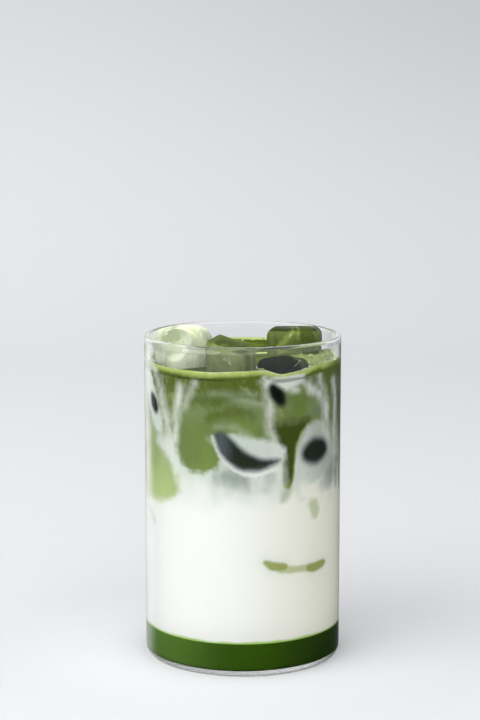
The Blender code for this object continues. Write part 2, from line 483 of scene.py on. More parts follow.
drink_mesh = turned_mesh("drink", drink_profile(), WALL_STEPS)
for vert in drink_mesh.vertices:
    if vert.co.z > DRINK_LEVEL - FROTH_DEPTH - 0.01 * MM:
        vert.co.z = froth_bottom(vert.co.x, vert.co.y)
drink_mesh = cut_pockets(drink_mesh)

# %% [markdown]
# ## Swirls painted by distance
#
# Where latte sinks into milk, the pattern on the wall is made of drops, tongues, threads and the faces of
# sunken ice, where the drink is painted dark as shade. Each mark is a brush stroke: a path of points, given
# as an angle round the glass, a height and a radius. A stroke isn't coloured in on the mesh, which would
# look blocky. The mesh stores, at every point, how far the nearest stroke's edge is. Distances change evenly,
# so they stay exact between the points, and the finish can turn them into an edge as crisp or as soft as
# the liquid shows.
#
# A little noise bends the whole sheet first, so that no edge stays a perfect arc. Its seed is fixed, so
# that the marks come out alike on each run.

# %% Brush strokes on the wall
ARC = INNER_RADIUS / MM * pi / 180      # millimetres along the wall for each degree
FAR_AWAY = 60.0                         # mm; the distance stored where no stroke is near
BEND_SEED = 295                         # unseeded, noise vectors would differ on each run
noise.seed_set(BEND_SEED)


def smooth_path(points, steps=4):
    """Points between the given ones, on a curve that passes through them all."""
    if len(points) < 3:
        return points
    ends = [Vector(points[0]), *[Vector(point) for point in points], Vector(points[-1])]
    path = []
    for before, start, end, after in zip(ends, ends[1:], ends[2:], ends[3:]):
        for i in range(steps):
            t = i / steps
            bend = (start - before * 0.5 - end * 0.5) * (-2 * t * t + t * t * t + t)
            bend += (end - start * 0.5 - after * 0.5) * (t * t - t * t * t)
            path.append(start.lerp(end, t) + bend * 0.5)
    return path + [Vector(points[-1])]


class Sheet:
    """Where a mesh's points lie on a sheet that noise has bent.

    The sheet is the drink's wall unrolled, with its angles in degrees. For the ice it is flat and upright,
    seen from the front, in mm.
    """

    def __init__(self, mesh, grain, bend, flat=False):
        self.mesh = mesh
        self.unit = 1.0 if flat else ARC
        self.whole_turn = 1e6 if flat else 360      # a flat sheet never comes round again
        points = numpy.empty(3 * len(mesh.vertices))
        mesh.vertices.foreach_get("co", points)
        points = points.reshape(-1, 3) / MM
        lumps = [Vector(point) / grain for point in points]
        sway = [noise.noise_vector(lump) + noise.noise_vector(lump * 3) * 0.3 for lump in lumps]
        sway = numpy.array(sway) * bend
        side = points[:, 0] if flat else numpy.degrees(numpy.arctan2(points[:, 0], -points[:, 1]))
        self.side = side + sway[:, 0] / self.unit
        self.height = points[:, 2] + sway[:, 2]

    def segment(self, start, end):
        """Distance in mm to one tapered piece of a stroke, negative inside it."""
        half = self.whole_turn / 2
        across = ((self.side - start[0] + half) % self.whole_turn - half) * self.unit
        up = self.height - start[1]
        run_across, run_up = (end[0] - start[0]) * self.unit, end[1] - start[1]
        along = (across * run_across + up * run_up) / (run_across ** 2 + run_up ** 2)
        along = numpy.clip(along, 0, 1)
        radius = start[2] + along * (end[2] - start[2])
        return numpy.hypot(across - along * run_across, up - along * run_up) - radius

    def store(self, name, strokes, blend=1.0):
        """Write the distance to the nearest stroke; close strokes flow together over blend mm."""
        nearest = numpy.full(len(self.side), FAR_AWAY)
        for stroke in strokes:
            path = smooth_path(stroke)
            for start, end in zip(path, path[1:]):
                distance = self.segment(start, end)
                share = numpy.clip(0.5 + (nearest - distance) / (2 * blend), 0, 1)
                nearest = nearest + (distance - nearest) * share - blend * share * (1 - share)
        attribute = self.mesh.attributes.new(name, "FLOAT", "POINT")
        attribute.data.foreach_set("value", nearest.astype(numpy.float32))


# %% Strokes of latte
# (degrees from the front towards +X, height in mm, radius in mm); past 100 degrees is the back
GREEN_LOBES = (
    ((-31, 97, 7.0), (-31, 90, 5.6)),
    ((-34, 86.0, 4.2), (-27, 84.6, 4.8), (-19.8, 84.6, 4.0)),
    ((-26, 101, 6.0), (-6, 99, 6.0), (13, 97.5, 5.6)),
    ((29.5, 105.4, 3.0), (38, 106.4, 3.6), (40, 102.6, 3.2), (33, 102, 3.6)),
    ((128, 100, 9.0), (134, 84, 4.5)),
    ((170, 98, 8.0), (163, 79, 3.0), (164, 70, 1.2)),
    ((212, 100, 9.0), (220, 88, 6.0)),
    ((250, 98, 7.0), (246, 82, 4.5)),
)
PALE_LOBES = (
    ((-80, 80, 5.0), (-64, 79.5, 5.4), (-47, 74.6, 5.0)),
    ((-80, 69.4, 5.8), (-60, 69.6, 5.2), (-46, 72.4, 4.4)),
    ((-62, 94, 1.6), (-68, 84, 3.0)),
    ((112, 76, 4.0), (126, 74, 3.0)),
    ((196, 76, 5.0), (208, 73, 4.0)),
)
FUNNEL = (
    ((17.2, 99.0, 1.4), (41.0, 97.6, 1.8)),
    ((20.6, 95.6, 2.8), (36.0, 95.6, 2.8)),
    ((28.5, 94, 4.4), (27.4, 90.5, 3.1), (27.4, 86.2, 2.0), (27.4, 82, 1.5), (27.2, 77, 1.1),
     (26.8, 73, 0.6)),
    ((184, 102, 6.0), (187, 92, 2.4), (187, 80, 1.2)),
)
FUNNEL_TAIL = (
    ((27.4, 76, 1.6), (26.6, 71, 1.8), (24, 67.5, 0.8)),
    ((187, 82, 1.8), (188, 74, 1.4)),
)
print("strokes of latte:", sum(map(len, (GREEN_LOBES, PALE_LOBES, FUNNEL, FUNNEL_TAIL))))

# %% Strokes of milk
SIDE_STREAKS = (
    ((72, 113, 3.0), (71, 90, 2.0), (72, 70, 0.8)),
    ((82, 113, 3.6), (81, 88, 3.0), (80, 68, 1.0)),
    ((94, 112, 3.0), (92, 84, 3.4), (94, 72, 1.0)),
    ((105, 112, 3.0), (104, 90, 2.0), (102, 78, 1.0)),
)
WHITE_THREADS = (
    ((-64, 115, 0.8), (-57, 109, 1.2), (-52, 99, 1.4), (-46, 85, 2.0), (-37, 72, 2.6)),
    ((-38.5, 110, 0.9), (-40.5, 104.5, 1.4), (-43, 98, 1.5), (-43, 89, 1.0)),
    ((-29, 112.5, 0.3), (-33, 107, 0.7), (-36, 102, 0.3)),
    ((13.2, 113.4, 0.8), (15.2, 108.2, 1.3), (15.6, 103.4, 1.0), (15.8, 96, 0.9), (20.8, 86, 1.2),
     (23.6, 74, 1.0)),
    ((38.6, 112.6, 0.8), (45.5, 108.4, 1.6), (54.5, 103.4, 1.8), (58, 95.0, 1.4), (59, 86, 0.7)),
    ((24, 111.4, 0.6), (29, 110.2, 1.3), (34, 109.4, 0.8)),
    ((52.5, 113, 0.8), (54.5, 107, 1.0)),
    ((66, 110, 1.0), (70, 98, 1.3), (70, 82, 1.0)),
    ((140, 112, 0.8), (146, 100, 1.2), (148, 86, 1.6)),
    ((226, 112, 0.8), (232, 98, 1.2), (236, 84, 1.8)),
    ((262, 112, 1.0), (266, 98, 1.4), (270, 86, 1.4)),
)
FINE_THREADS = (
    ((-19, 108, 0.3), (-10.6, 108.2, 0.7), (-2.6, 106.2, 0.8), (5.3, 104.1, 0.7), (13, 102.8, 0.6)),
    ((-4, 106.6, 0.2), (0.6, 108.3, 0.4), (7.7, 107.2, 0.3)),
    ((-14, 95.6, 0.3), (-4, 94.5, 0.6), (8, 91.5, 0.5)),
    ((-66, 92, 0.3), (-56, 84, 0.5), (-50, 80, 0.2)),
    ((34, 78, 0.3), (33, 72, 0.5), (37, 67, 0.4), (42, 66, 0.2)),
    ((120, 108, 0.3), (124, 96, 0.5), (118, 84, 0.4)),
    ((176, 110, 0.3), (180, 98, 0.5), (176, 88, 0.3)),
    ((204, 108, 0.3), (200, 96, 0.6), (206, 84, 0.3)),
)
MILK_CLOUDS = (
    ((-7, 91.5, 1.2), (2, 88.5, 2.6), (12, 86.8, 3.2), (21, 85.2, 3.0)),
    ((45, 80, 7.4), (52, 84, 7.6), (48, 89, 6.6)),
    ((-72, 110, 3.2), (-65, 101, 3.3), (-59, 93, 2.4)),
    ((15.4, 111.8, 1.0), (21, 112.0, 1.4), (27, 112.2, 1.9), (36, 113.6, 1.5)),
    ((150, 96, 2.2), (158, 92, 4.0), (168, 90, 3.0)),
    ((232, 93.0, 1.6), (240, 90.5, 3.0), (250, 88.5, 3.0), (258, 87.5, 1.4)),
)
VEILS = (
    ((-22, 77.5, 1.6), (-8, 77.0, 2.4), (6, 76.0, 3.0), (22, 76.5, 1.8)),
    ((2, 73.4, 0.6), (12, 71.8, 1.2)),
    ((56, 72, 3.0), (66, 76, 3.4), (74, 82, 3.0)),
    ((140, 76, 3.0), (160, 74, 2.4)),
    ((222, 76, 2.6), (244, 76, 3.0)),
)
print("strokes of milk:", sum(map(len, (SIDE_STREAKS, WHITE_THREADS, FINE_THREADS, MILK_CLOUDS, VEILS))))

# %% The faces of sunken ice, where shade is painted dark, and small marks
ICE_FACES = (
    ((-13.6, 92.4, 1.5), (-8.5, 87.8, 3.2), (0, 83.0, 3.3), (10.5, 81.4, 2.0), (22, 83.0, 0.3)),
    ((42.6, 84.0, 3.4), (48, 84.5, 4.7), (53.4, 84.9, 3.4)),
    ((17.6, 110.4, 1.3), (20.2, 107.6, 2.5), (22.4, 104.9, 2.0)),
    ((-66.2, 103.6, 1.3), (-64, 101.4, 2.3), (-61.5, 99.0, 1.5)),
    ((147, 93, 1.2), (151, 89.5, 2.6), (158, 86, 2.4), (166, 85.4, 0.4)),
    ((230, 90.5, 0.7), (236, 86.0, 2.4), (245, 83.5, 2.6), (254, 84.5, 0.5)),
)
DARK_PATCHES = (
    ((-30, 104.4, 1.4), (-18, 105.8, 2.4), (-8, 106.4, 1.0)),
    ((-24, 112.6, 1.6), (-8, 110.6, 2.6), (-2, 113.0, 2.0)),
    ((-20, 98.6, 0.8), (-6, 101.4, 1.8), (6, 99.0, 1.0)),
    ((52, 113.6, 2.0), (66, 113.4, 2.4), (80, 112.8, 2.4)),
    ((140, 108, 3.0), (160, 110, 3.0)),
    ((200, 110, 2.4), (222, 106, 3.0)),
)
CREAM_EDGE = (
    ((-17.5, 92, 0.4), (-13, 85.4, 0.8), (-4, 79.6, 0.8), (7, 77.4, 0.8), (20, 79.8, 0.5)),
    ((144, 92, 0.4), (149, 86.4, 0.7), (158, 82.6, 0.7), (168, 83.4, 0.4)),
    ((228, 89, 0.4), (235, 82.6, 0.7), (246, 79.8, 0.7), (256, 82, 0.4)),
)
FAINT_GREENS = (
    ((46.2, 64.0, 2.3), (47.6, 61.4, 2.5)),
    ((205, 62, 1.8), (209, 59, 1.4)),
)
FAINT_SHADE = (
    ((-75, 60.6, 0.9), (-66, 55.4, 1.3)),
    ((117, 60, 1.0), (126, 57, 1.2)),
)
LOW_THREAD = (
    ((13.2, 44.2, 0.7), (17.5, 42.4, 1.5), (25.4, 41.7, 1.3)),
    ((42.6, 39.7, 1.3), (49, 39.5, 1.7), (56, 40.2, 1.2)),
)
LOW_BRIDGE = (
    ((22, 40.9, 1.3), (46, 39.4, 1.3)),
)

# %% Store the distances
# bent: uneven edges, as in latte and threads. firm: edges that ice or a thick stream holds in shape.
bent = Sheet(drink_mesh, 11.0, 1.4)
firm = Sheet(drink_mesh, 11.0, 0.5)
for sheet, name, strokes, blend in (
        (bent, "green_lobes", GREEN_LOBES, 3.0), (bent, "pale_lobes", PALE_LOBES, 2.5),
        (bent, "dark_patches", DARK_PATCHES, 1.5), (bent, "side_streaks", SIDE_STREAKS, 1.0),
        (bent, "white_threads", WHITE_THREADS, 1.0), (bent, "fine_threads", FINE_THREADS, 0.5),
        (bent, "veils", VEILS, 2.0), (bent, "faint_greens", FAINT_GREENS, 1.0),
        (bent, "faint_shade", FAINT_SHADE, 1.0), (firm, "milk_clouds", MILK_CLOUDS, 2.0),
        (firm, "funnel", FUNNEL, 2.0), (firm, "funnel_tail", FUNNEL_TAIL, 1.0),
        (firm, "ice_faces", ICE_FACES, 1.2), (firm, "cream_edge", CREAM_EDGE, 0.5),
        (firm, "low_thread", LOW_THREAD, 1.0), (firm, "low_bridge", LOW_BRIDGE, 0.5)):
    sheet.store(name, strokes, blend)
stored = [attribute.name for attribute in drink_mesh.attributes if attribute.data_type == "FLOAT"]
print("distances stored on the drink:", len(stored))

# %% [markdown]
# ## The drink's finish
#
# The colour is built up in coats, as a painter would: milk and latte first, then veils, the green masses,
# the milk that curls round the ice, and the painted shade where sunken ice touches the wall. Each coat is
# one Mix node, and its factor is a stored distance with a soft step. One texture image could hold all this,
# but it would be as coarse as its pixels, and a stroke's softness couldn't be changed afterwards.
#
# The liquid itself has no gloss of its own: the glass in front of it has, and a second gloss would
# double every highlight.

# %% The colours of the drink
MILK = (0.905, 0.915, 0.885)
# painted shade: the milk's warm tint on its shadow side, to the right
SHADOW_WARM_MILK = (0.910, 0.910, 0.800)
CREAM = (0.700, 0.760, 0.690)
LATTE_TOP = (0.105, 0.150, 0.026)
LATTE_MID = (0.180, 0.245, 0.075)
LATTE_LOBE = (0.205, 0.290, 0.075)
LATTE_PALE = (0.385, 0.480, 0.195)
LOBE_PALE = (0.480, 0.590, 0.260)
LATTE_DULL = (0.340, 0.430, 0.180)
LATTE_DEEP = (0.062, 0.088, 0.015)
FRINGE = (0.300, 0.370, 0.060)
VEIL = (0.430, 0.500, 0.370)
HAZE = (0.300, 0.345, 0.300)
DIM_CREAM = (0.500, 0.555, 0.480)
SIDE_GREY = (0.270, 0.310, 0.220)
# painted shade where sunken ice touches the wall, and a painted blue-grey sheen at its rim
ICE_SHADE = (0.023, 0.030, 0.019)
ICE_DEEP_SHADE = (0.007, 0.010, 0.005)
ICE_SHEEN_BLUE = (0.105, 0.130, 0.150)
LOW_GREEN = (0.320, 0.360, 0.105)
LOW_PALE = (0.500, 0.560, 0.300)
RIGHT_SMOKE = (0.210, 0.245, 0.160)
SEEP = (0.330, 0.560, 0.050)
POCKET_PALE = (0.300, 0.350, 0.180)
# painted shade on the pockets' walls, away from the left
POCKET_SHADE = (0.045, 0.060, 0.014)

print("darkest ice", ICE_DEEP_SHADE, "and whitest milk", MILK)


# %% A painting: a colour built up in coats
class Painting(Finish):
    """The drink's finish, with the noises that every coat shares."""

    def __init__(self):
        super().__init__("drink", Roughness=0.4, Specular_IOR_Level=0.0)
        point = self.place()
        self.x, self.y, self.z = self.split(point)
        stretched = self.vector("MULTIPLY", point, (1.0, 1.0, 0.45))
        self.clouds = self.noise(stretched, 9.0, 4.0)
        self.threads = self.noise(stretched, 3.4, 5.0, Distortion=1.2)
        self.blotches = self.noise(point, 3.2, 4.0)
        self.speckle = self.noise(point, 1.1, 2.0)
        self.ragged = self.noise(point, 2.2, 4.0) - 0.5
        drawn_out = self.vector("MULTIPLY", point, (1.0, 1.0, 0.35))
        self.streaky = self.noise(drawn_out, 3.2, 1.5).step(0.28, 0.66, 0.5, 1.0)
        self.colour = None      # the first step sets it

    def reach(self, layer, ragged_by=1.0):
        """The distance to a layer's strokes, made ragged by so many mm."""
        return self.attribute(layer) + self.ragged * ragged_by

    def coat(self, share, colour):
        """Cover what is there with a colour."""
        self.colour = self.mix(share, self.colour, colour)

    def stroke(self, distance, colour, soft=0.8, strength=1.0):
        """Lay a colour on where a stroke is; its edge fades over twice the softness."""
        self.coat(distance.step(-soft, soft, 1.0, 0.0) * strength, colour)


# %% Milk below, latte above
def pour_layers(paint):
    """Milk painted warmer towards the right as shade, ragged clouds, then latte that darkens towards the
    froth.
    """
    latte = paint.mix(paint.z.step(99.0, 112.0), LATTE_MID, LATTE_TOP)
    latte = paint.mix(paint.threads.step(0.46, 0.72) * 0.5, latte, LATTE_PALE)
    ragged_height = paint.z + (paint.clouds - 0.5) * 26.0
    cloudy = paint.mix(ragged_height.step(80.0, 98.0), CREAM, latte)
    # painted shade: the milk turns warmer towards the right
    paint.colour = paint.mix(paint.x.step(-6.0, 34.0), MILK, SHADOW_WARM_MILK)
    paint.coat(ragged_height.step(64.0, 79.0), cloudy)


# %% Veils, streaks and pale lobes
def hang_veils(paint):
    """Thin latte at the lower edge: grey veils, streaks at the side, and pale lobes that thin out."""
    veil = paint.mix(paint.clouds.step(0.36, 0.64), CREAM, HAZE)
    paint.stroke(paint.reach("veils", 2.0), veil, 3.2, 0.85)
    paint.stroke(paint.reach("side_streaks", 3.0), SIDE_GREY, 2.4, 0.9)
    pale = paint.mix((paint.z + paint.clouds * 14.0 - 7.0).step(68.0, 86.0), LOBE_PALE, LATTE_DULL)
    fade = (paint.z + paint.blotches * 8.0).step(62.0, 72.0, 0.2, 1.0)
    paint.stroke(paint.reach("pale_lobes", 3.0), pale, 1.6, fade)


# %% The green masses
def sink_latte(paint):
    """The green lobes, smoky near the top and on the right."""
    x, z, clouds = paint.x, paint.z, paint.clouds
    lobe = paint.mix(clouds.step(0.38, 0.66), LATTE_LOBE, LATTE_MID)
    smoky = paint.mix(clouds.step(0.40, 0.62), LATTE_TOP, VEIL)
    lobe = paint.mix(z.step(93.0, 106.0) * 0.7, lobe, paint.mix(0.6, smoky, LATTE_MID))
    smoke = x.step(17.0, 25.0) * z.step(94.0, 100.0) * paint.blotches.step(0.34, 0.58)
    paint.coat(smoke, RIGHT_SMOKE)
    paint.stroke(paint.reach("green_lobes", 4.0), lobe, 1.5)
    paint.stroke(paint.reach("dark_patches", 4.0), LATTE_TOP, 2.4, 0.85)


def drop_funnel(paint):
    """One dense stream falls through the milk; it fades at both ends and has a bright fringe."""
    z = paint.z
    fade = (z + (paint.blotches - 0.5) * 3.0).step(94.5, 100.0, 1.0, 0.0) * z.step(70.5, 76.5, 0.35, 1.0)
    paint.stroke(paint.reach("funnel_tail", 1.5), VEIL, 1.6, 0.8)
    paint.stroke(paint.reach("funnel", 1.0) - 0.5, FRINGE, 0.6, z.step(92.0, 96.0, 0.9, 0.0))
    paint.stroke(paint.reach("funnel", 1.0), LATTE_DEEP, 0.7, fade)


# %% Milk and threads round the ice
def curl_milk(paint):
    """Curds of milk cling to sunken ice, and white threads run down from the froth."""
    curd_shade = paint.x.step(21.0, 29.0) * paint.clouds.step(0.3, 0.6, 0.7, 1.0)
    paint.stroke(paint.reach("milk_clouds", 3.0), paint.mix(curd_shade, CREAM, DIM_CREAM), 1.4)
    white, pale_green = paint.mix(0.4, MILK, CREAM), paint.mix(0.5, VEIL, CREAM)
    paint.stroke(paint.reach("white_threads", 2.2), white, 2.3, paint.streaky * 0.9)
    paint.stroke(paint.reach("fine_threads", 1.0), pale_green, 2.2, paint.streaky * 0.45)
    paint.stroke(paint.reach("cream_edge"), MILK, 0.7, 0.9)


def show_sunken_ice(paint):
    """Where ice touches the wall, painted shade makes the drink nearly black, with a painted blue-grey sheen
    at the rim where light gets in, and a soft grey halo of painted shade round the faces on the right.
    """
    x, z = paint.x, paint.z
    faces = paint.reach("ice_faces", 0.6)
    rim = faces.step(-2.2, 0.4) * z.step(93.0, 97.0, 1.0, 0.25)
    lit_end = x.step(-12.0, -8.0) * x.step(-8.0, -2.0, 0.8, 0.0)
    # painted shade: nearly black, darkest higher up
    dark = paint.mix(z.step(95.0, 99.0), ICE_SHADE, ICE_DEEP_SHADE)
    halo = x.step(18.0, 22.0) * z.step(93.0, 96.0, 0.7, 0.0)
    paint.stroke(faces - 1.0, HAZE, 1.6, halo)
    paint.stroke(faces, paint.mix(rim.most(lit_end), dark, ICE_SHEEN_BLUE), 1.3)


# %% Small marks lower down
def add_small_marks(paint):
    """Stray drops, one curved thread with thick ends, specks of leaf, and green that seeps from the syrup."""
    paint.stroke(paint.reach("faint_greens", 2.0), LATTE_PALE, 1.2, 0.6)
    paint.stroke(paint.reach("faint_shade", 2.0), CREAM, 1.2, 0.9)
    paint.stroke(paint.reach("low_thread") - 1.4, CREAM, 2.4, 0.45)
    paint.stroke(paint.reach("low_bridge"), LOW_PALE, 0.8, 0.9)
    low = paint.reach("low_thread", 0.6)
    paint.stroke(low, paint.mix(low.step(-1.0, 0.4), LOW_GREEN, LOW_PALE), 0.6, 0.95)
    paint.coat(paint.speckle.step(0.70, 0.76) * paint.z.step(66.0, 76.0) * 0.5, LATTE_TOP)
    syrup_line = paint.z - SYRUP_TOP / MM - (paint.clouds - 0.5) * 1.6
    paint.coat(syrup_line.step(0.1, 1.3, 0.9, 0.0), SEEP)


# %% The two edges, and the pockets
def shade_edges(paint):
    """The right edge is painted darker as shade, the left one milky. The pockets' walls, seen through the
    ice, are painted pale on the left and dark as shade elsewhere.
    """
    x, y, clouds = paint.x, paint.y, paint.clouds - 0.5
    # painted shade: a dark band down the right edge
    paint.coat(x.step(33.6, 36.0) * paint.z.step(80.0, 92.0) * 0.5, LATTE_DEEP)
    at_the_left = (x + clouds * 4.0).step(-35.9, -33.0, 0.85, 0.0)
    in_front = (y + clouds * 24.0).step(-9.0, 1.0, 1.0, 0.0)
    paint.coat(at_the_left * in_front, paint.mix(0.6, CREAM, MILK))
    from_axis = paint.vector("LENGTH", paint.join(x, y, 0.0), output=1)
    # every surface away from the wall: pale on the left, dark elsewhere as painted shade
    pocket = paint.mix(x.step(-14.0, -9.0), POCKET_PALE, POCKET_SHADE)
    on_wall = from_axis.step(INNER_RADIUS / MM - 0.6, INNER_RADIUS / MM - 0.3)
    paint.colour = paint.mix(on_wall, pocket, paint.colour)


# %% Paint the drink
painting = Painting()
for step in (pour_layers, hang_veils, sink_latte, drop_funnel, curl_milk, show_sunken_ice,
             add_small_marks, shade_edges):
    step(painting)
painting.set(Base_Color=painting.colour)
print("nodes in the drink's finish:", len(painting.tree.nodes))

drink = add_piece("drink", drink_mesh, painting)
keep(drink, "latte", "milk_layer", "latte_layer")

# %% [markdown]
# ## The froth
#
# Froth lies on the drink as a thin disc, and surface tension draws its edge up the wall. It is one turned
# mesh, moved up or down point by point to the froth's line, with the cubes' pockets cut out. The number of
# rings rises near the wall, where the edge curves. A flat disc with a bump would look right from above
# only: here the edge is seen from the side, through the glass.

# %% The froth's shape
FROTH_RINGS = (0.0, 0.15, 0.3, 0.45, 0.6, 0.7, 0.8, 0.86, 0.9, 0.93, 0.95, 0.965, 0.98, 0.99, 1.0)
FROTH_ROWS = 8                  # up its side


def froth_mesh():
    """A disc whose points know how deep they lie under its upper side, in mm."""
    profile = [(WET_RADIUS * ring, 0.0) for ring in FROTH_RINGS]
    profile += [(WET_RADIUS, i / FROTH_ROWS) for i in range(1, FROTH_ROWS)]
    profile += [(WET_RADIUS * ring, 1.0) for ring in reversed(FROTH_RINGS)]
    mesh = turned_mesh("froth", profile, WALL_STEPS)
    for vert in mesh.vertices:
        x, y, level = vert.co
        bottom, top = froth_bottom(x, y), froth_top(x, y)
        vert.co.z = bottom + (top - bottom) * level
    mesh = cut_pockets(mesh)
    depths = [(froth_top(vert.co.x, vert.co.y) - vert.co.z) / MM for vert in mesh.vertices]
    mesh.attributes.new("depth", "FLOAT", "POINT").data.foreach_set("value", depths)
    Sheet(mesh, 11.0, 0.5).store("milk_clouds", MILK_CLOUDS, 2.0)
    Sheet(mesh, 11.0, 1.4).store("white_threads", WHITE_THREADS)
    return mesh


# %% The froth's finish
FOAM = (0.475, 0.585, 0.165)
FOAM_BACK = (0.330, 0.400, 0.135)
# a painted highlight on the froth's edge at the wall
FOAM_HIGHLIGHT = (0.650, 0.735, 0.350)
SURFACE_DEEP = (0.042, 0.064, 0.008)
SURFACE_MID = (0.085, 0.120, 0.022)
PATCH = (0.190, 0.245, 0.075)


def beside_cube(f, x, y, name):
    """Distance in mm to an upright cube's sides, seen from above; 0 at its edge."""
    size, _, centre, lean, _ = ICE[name]
    offset = f.vector("SUBTRACT", f.join(x, y, 0.0), (centre[0], centre[1], 0.0))
    inputs = {"Vector": offset, "Angle": radians(-lean[2])}
    turned = f.node("ShaderNodeVectorRotate", {"rotation_type": "Z_AXIS"}, inputs)
    along, across, _ = f.split(f.vector("ABSOLUTE", turned))
    return along.most(across) - size[0] / 2


def froth_finish():
    """Dark and wet in the middle, pale and dry along the wall, and creamy where milk is drawn up."""
    f = Finish("froth", Roughness=0.35, Specular_IOR_Level=0.0)
    point = f.place()
    x, y, _ = f.split(point)
    inner = INNER_RADIUS / MM
    from_axis = f.vector("LENGTH", f.join(x, y, 0.0), output=1)
    clouds, grain = f.noise(point, 7.0, 4.0) - 0.5, f.noise(point, 1.6, 3.0) - 0.5

    # the upper side: wet in the middle, dry foam along the wall, a pale patch on the right
    to_wall = inner - from_axis + clouds * 3.0
    wet = f.mix(clouds.step(-0.08, 0.12), SURFACE_DEEP, SURFACE_MID)
    foam = f.mix(y.step(0.0, 20.0), FOAM, FOAM_BACK)
    colour = f.mix(to_wall.step(0.5, 1.4, 1.0, 0.0), wet, foam)
    patch = ((x - 30.0) * (x - 30.0) + y * y * 0.3) ** 0.5 + clouds * 12.0
    colour = f.mix(patch.step(8.0, 12.0, 0.9, 0.0), colour, PATCH)
    beside_ice = beside_cube(f, x, y, "ice_front") + grain * 1.6
    colour = f.mix(beside_ice.step(0.4, 1.8, 0.8, 0.0), colour, CREAM)

    # the edge on the wall: a painted highlight along its top in front, the drink's own green below
    depth = f.attribute("depth")
    under = depth + clouds * 2.4 + grain
    by_wall = from_axis.step(inner - 1.0, inner - 0.3)
    painted_highlight = under.step(0.1, 0.7, 1.0, 0.0) * by_wall * y.step(-5.0, 10.0, 1.0, 0.0)
    colour = f.mix(painted_highlight, colour, FOAM_HIGHLIGHT)
    colour = f.mix(under.step(0.8, 2.7), colour, LATTE_TOP)

    # milk that the drink's strokes carry up to the line
    curl = f.attribute("milk_clouds").least(f.attribute("white_threads")) + grain * 1.5
    colour = f.mix(curl.step(-1.4, 1.4, 0.9, 0.0) * depth.step(0.6, 1.4) * by_wall, colour, CREAM)
    at_the_left = (x + clouds * 5.0).step(-34.5, -30.5, 0.85, 0.0)
    in_front = (y + clouds * 12.0).step(-8.0, 0.0, 1.0, 0.0)
    colour = f.mix(at_the_left * in_front * from_axis.step(30.0, 33.0), colour, CREAM)
    f.set(Base_Color=colour)
    print("nodes in the froth's finish:", len(f.tree.nodes))
    return f


froth = add_piece("froth", froth_mesh(), froth_finish())
keep(froth, "froth", "froth_layer")

# %% [markdown]
# ## Bubbles
#
# Froth is a crowd of bubbles of very different sizes, thickest along the wall. Geometry Nodes scatter them:
# points on part of the froth, a small ball on each, and a size that is mostly tiny and now and then large.
# A bump could stand for the smallest, but along the rim they break the line of the froth.

# %% A tree that scatters bubbles
MOST_BUBBLES = 6e6              # points tried for each square metre; their spacing thins them out
RARE_SIZES = 4.0                # the higher, the fewer large bubbles


def bubble_tree(material):
    tree = bpy.data.node_groups.new("bubbles", "GeometryNodeTree")
    tree.interface.new_socket("Geometry", in_out="INPUT", socket_type="NodeSocketGeometry")
    for label, default in (("Spacing", 0.0006), ("Smallest", 0.00012), ("Largest", 0.0006)):
        socket = tree.interface.new_socket(label, in_out="INPUT", socket_type="NodeSocketFloat")
        socket.default_value = default
    tree.interface.new_socket("Seed", in_out="INPUT", socket_type="NodeSocketInt")
    tree.interface.new_socket("Geometry", in_out="OUTPUT", socket_type="NodeSocketGeometry")
    nodes, links = tree.nodes, tree.links
    start, end = nodes.new("NodeGroupInput"), nodes.new("NodeGroupOutput")
    scatter = nodes.new("GeometryNodeDistributePointsOnFaces")
    scatter.distribute_method = "POISSON"
    scatter.inputs["Density Max"].default_value = MOST_BUBBLES
    links.new(start.outputs["Geometry"], scatter.inputs["Mesh"])
    links.new(start.outputs["Spacing"], scatter.inputs["Distance Min"])
    links.new(start.outputs["Seed"], scatter.inputs["Seed"])
    luck = nodes.new("FunctionNodeRandomValue")
    links.new(start.outputs["Seed"], luck.inputs["Seed"])
    power = nodes.new("ShaderNodeMath")
    power.operation = "POWER"
    power.inputs[1].default_value = RARE_SIZES
    links.new(luck.outputs[1], power.inputs[0])
    size = nodes.new("ShaderNodeMapRange")
    links.new(power.outputs[0], size.inputs["Value"])
    links.new(start.outputs["Smallest"], size.inputs["To Min"])
    links.new(start.outputs["Largest"], size.inputs["To Max"])
    ball = nodes.new("GeometryNodeMeshIcoSphere")
    ball.inputs["Radius"].default_value = 1.0
    ball.inputs["Subdivisions"].default_value = 2
    place = nodes.new("GeometryNodeInstanceOnPoints")
    links.new(scatter.outputs["Points"], place.inputs["Points"])
    links.new(ball.outputs["Mesh"], place.inputs["Instance"])
    links.new(size.outputs["Result"], place.inputs["Scale"])
    real = nodes.new("GeometryNodeRealizeInstances")
    links.new(place.outputs["Instances"], real.inputs["Geometry"])
    smooth = nodes.new("GeometryNodeSetShadeSmooth")
    links.new(real.outputs["Geometry"], smooth.inputs["Geometry"])
    paint = nodes.new("GeometryNodeSetMaterial")
    paint.inputs["Material"].default_value = material
    links.new(smooth.outputs["Geometry"], paint.inputs["Geometry"])
    links.new(paint.outputs["Geometry"], end.inputs["Geometry"])
    return tree


# %% Run the tree
def scattered(name, bed, tree, **values):
    """Run a tree on a bed mesh and return the result as a plain piece."""
    holder = bpy.data.objects.new(name + "_bed", bed)
    bpy.context.scene.collection.objects.link(holder)
    modifier = holder.modifiers.new("Scatter", "NODES")
    modifier.node_group = tree
    for item in tree.interface.items_tree:
        if item.in_out == "INPUT" and item.name in values:
            modifier[item.identifier] = values[item.name]
    evaluated = holder.evaluated_get(bpy.context.evaluated_depsgraph_get())
    mesh = bpy.data.meshes.new_from_object(evaluated)
    bpy.data.objects.remove(holder)
    piece = bpy.data.objects.new(name, mesh)
    bpy.context.scene.collection.objects.link(piece)
    return piece


